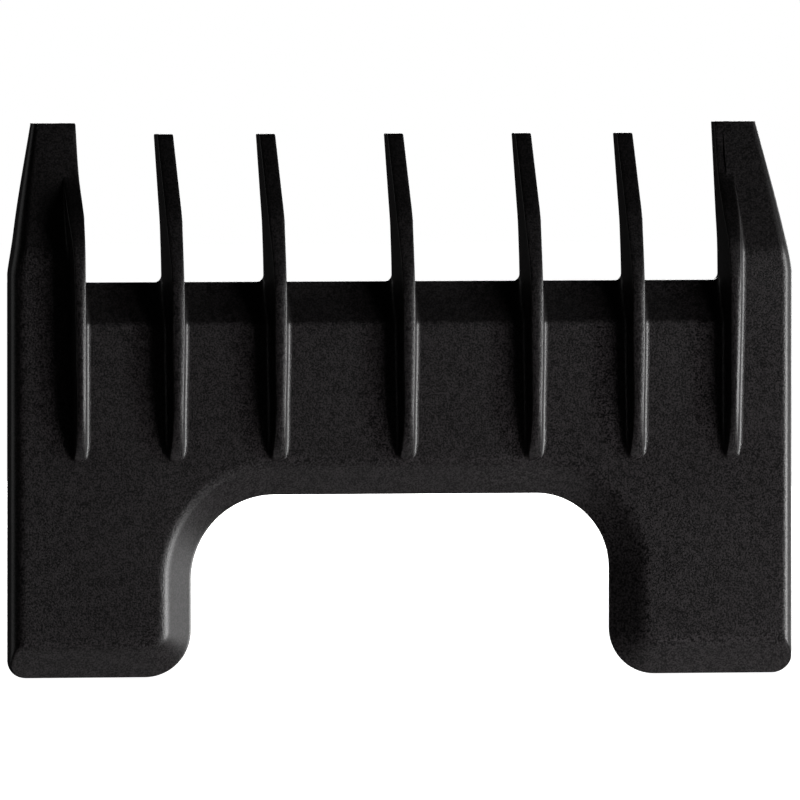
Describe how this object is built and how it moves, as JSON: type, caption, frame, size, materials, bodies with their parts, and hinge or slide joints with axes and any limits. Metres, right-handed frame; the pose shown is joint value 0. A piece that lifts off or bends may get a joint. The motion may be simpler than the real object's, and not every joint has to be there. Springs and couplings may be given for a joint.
{
  "type": "clipper guard comb",
  "caption": "Slide-on guard comb for hair clippers: a plate with an arched heel, thin comb teeth between two wide ones, and a channel with catches for the blade.",
  "frame": {"origin": "on the ground under the middle of the comb, which stands on its two legs", "axes": "+X to the right, +Z along the teeth towards their tips, +Y from the skin side towards the blade"},
  "size_m": [0.05, 0.0066, 0.0345],
  "materials": {
    "grained_plastic": "fine spark-eroded grain, satin black",
    "smooth_plastic": "plain moulded black"
  },
  "bodies": {
    "comb": {"face_plate": "grained_plastic", "left_leg": "grained_plastic", "right_leg": "grained_plastic", "left_side_rim": "grained_plastic", "right_side_rim": "grained_plastic", "tooth_2": "grained_plastic", "tooth_3": "grained_plastic", "tooth_4": "grained_plastic", "tooth_5": "grained_plastic", "tooth_6": "grained_plastic", "left_outer_tooth": "grained_plastic", "right_outer_tooth": "grained_plastic", "left_edge_rib": "grained_plastic", "right_edge_rib": "grained_plastic", "left_guide_rail": "smooth_plastic", "right_guide_rail": "smooth_plastic", "left_rail_lip": "smooth_plastic", "right_rail_lip": "smooth_plastic", "left_blade_stop": "smooth_plastic", "right_blade_stop": "smooth_plastic"},
    "left_catch": {"left_snap_arm": "smooth_plastic"},
    "right_catch": {"right_snap_arm": "smooth_plastic"}
  },
  "joints": [
    {"name": "left_catch_flex", "type": "hinge", "parent": "comb", "child": "left_catch", "pos_m": [-0.0236, 0.00155, 0.01225], "axis": [0, 1, 0], "range_deg": [0, 4.5], "stiffness_Nm_per_rad": 0.08},
    {"name": "right_catch_flex", "type": "hinge", "parent": "comb", "child": "right_catch", "pos_m": [0.0236, 0.00155, 0.01225], "axis": [0, -1, 0], "range_deg": [0, 4.5], "stiffness_Nm_per_rad": 0.08}
  ]
}
